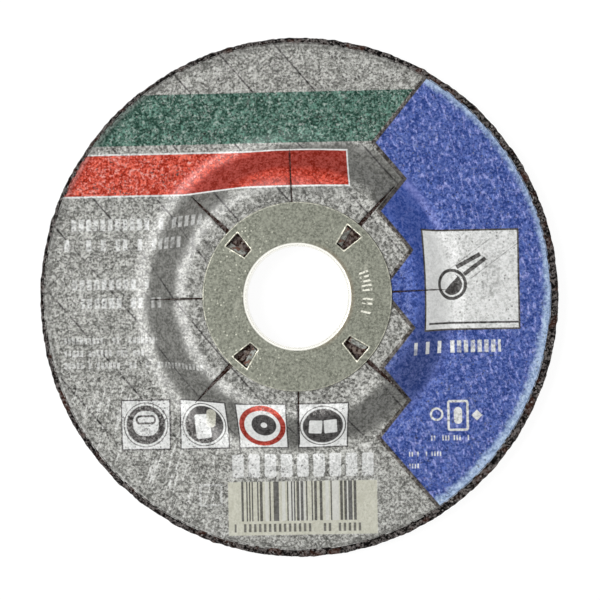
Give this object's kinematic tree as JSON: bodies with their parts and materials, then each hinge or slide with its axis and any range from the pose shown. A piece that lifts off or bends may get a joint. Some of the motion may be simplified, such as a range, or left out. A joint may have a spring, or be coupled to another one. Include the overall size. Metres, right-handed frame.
{
  "type": "grinding disc",
  "caption": "Depressed-centre grinding disc: a flat abrasive rim, a raised hub with a recess behind it, a pressed steel ring in the bore and a paper label over the face.",
  "frame": {"origin": "on the disc's axis, in the plane of the rim's underside, which it lies on", "axes": "+Z along the bore, out of the raised hub and the label; +Y towards the top of the print; +X to the right of the print"},
  "size_m": [0.115, 0.115, 0.0111],
  "materials": {
    "bonded_abrasive": "coarse brown-black abrasive grain in resin, rough",
    "pressed_steel": "dull plated sheet steel, fine grain",
    "printed_paper": "printed paper, matt, grain showing through"
  },
  "bodies": {
    "root": {"abrasive_disc": "bonded_abrasive", "centre_ring": "pressed_steel", "label": "printed_paper"}
  },
  "joints": []
}
